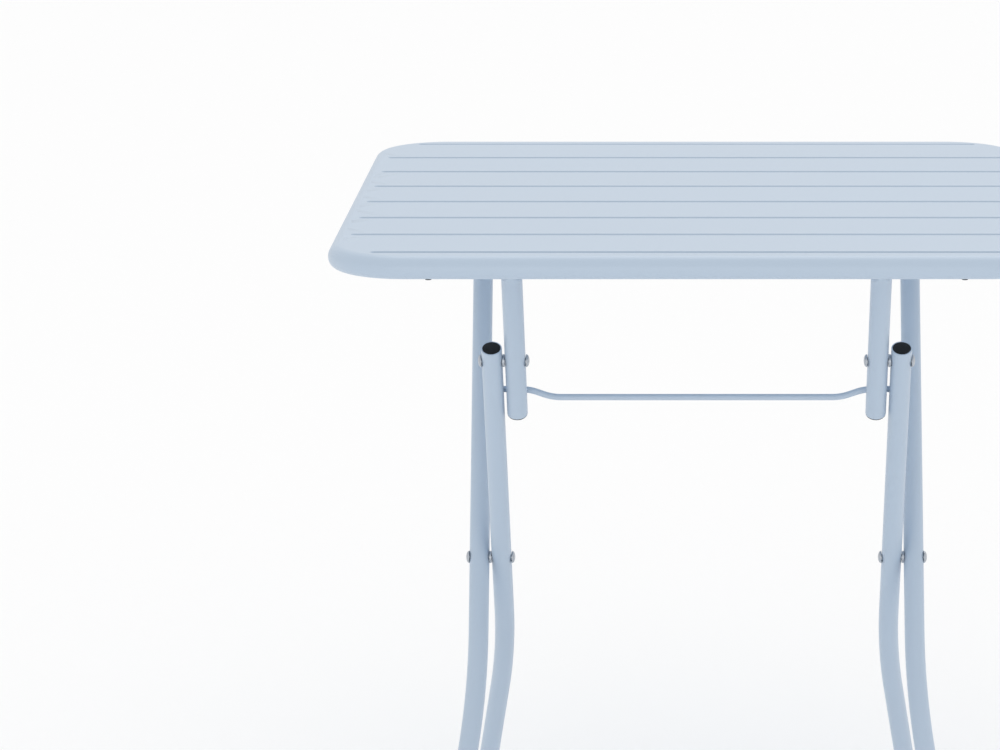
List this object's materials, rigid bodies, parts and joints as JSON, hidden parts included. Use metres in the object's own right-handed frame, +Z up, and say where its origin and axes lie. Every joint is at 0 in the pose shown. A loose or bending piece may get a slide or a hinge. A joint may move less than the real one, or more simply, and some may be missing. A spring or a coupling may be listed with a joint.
{
  "type": "folding table",
  "caption": "Square folding steel picnic table: pressed slatted top with a rolled rim on crossed tube legs with locking struts.",
  "frame": {"origin": "on the floor under the middle of the top, with the table open", "axes": "+Z up, +X to the right along the pressed slats, +Y to the rear, away from the folding struts"},
  "size_m": [0.712, 0.706, 0.71],
  "materials": {
    "blue_powder_coat": "satin powder coat",
    "zinc_steel": "zinc plated",
    "black_plastic": "fine texture",
    "black_rubber": "matt"
  },
  "bodies": {
    "tabletop": {"tabletop_sheet": "blue_powder_coat", "rail_left": "blue_powder_coat", "rail_right": "blue_powder_coat", "front_bracket_left": "blue_powder_coat", "front_bracket_right": "blue_powder_coat", "rear_saddle_left": "blue_powder_coat", "rear_saddle_right": "blue_powder_coat", "bracket_rivets": "zinc_steel", "front_hinge_pins": "zinc_steel", "rim_bumpers": "black_rubber"},
    "struts": {"strut_left": "blue_powder_coat", "strut_right": "blue_powder_coat", "strut_end_plugs": "black_plastic"},
    "inner_legs": {"inner_leg_left": "blue_powder_coat", "inner_leg_right": "blue_powder_coat", "stop_rod": "blue_powder_coat", "inner_top_caps": "black_plastic", "inner_foot_left": "black_plastic", "inner_foot_right": "black_plastic", "knee_rivets": "zinc_steel", "knee_washers": "zinc_steel"},
    "outer_legs": {"outer_leg_left": "blue_powder_coat", "outer_leg_right": "blue_powder_coat", "outer_crossbar": "blue_powder_coat", "outer_foot_left": "black_plastic", "outer_foot_right": "black_plastic", "cross_rivets": "zinc_steel", "cross_washers": "zinc_steel"}
  },
  "joints": [
    {"name": "strut_hinge", "type": "hinge", "parent": "tabletop", "child": "struts", "pos_m": [0, -0.20701, 0.68], "axis": [-1, 0, 0], "range_deg": [0, 87]},
    {"name": "knee", "type": "hinge", "parent": "struts", "child": "inner_legs", "pos_m": [0, -0.14008, 0.5636], "axis": [1, 0, 0], "range_deg": [0, 146.01]},
    {"name": "scissor", "type": "hinge", "parent": "inner_legs", "child": "outer_legs", "pos_m": [0, 0, 0.32], "axis": [-1, 0, 0], "range_deg": [0, 118.36]}
  ],
  "couplings": [
    {"joint": "knee", "follows": "strut_hinge", "ratio": 1.6782},
    {"joint": "scissor", "follows": "strut_hinge", "ratio": 1.3603}
  ]
}
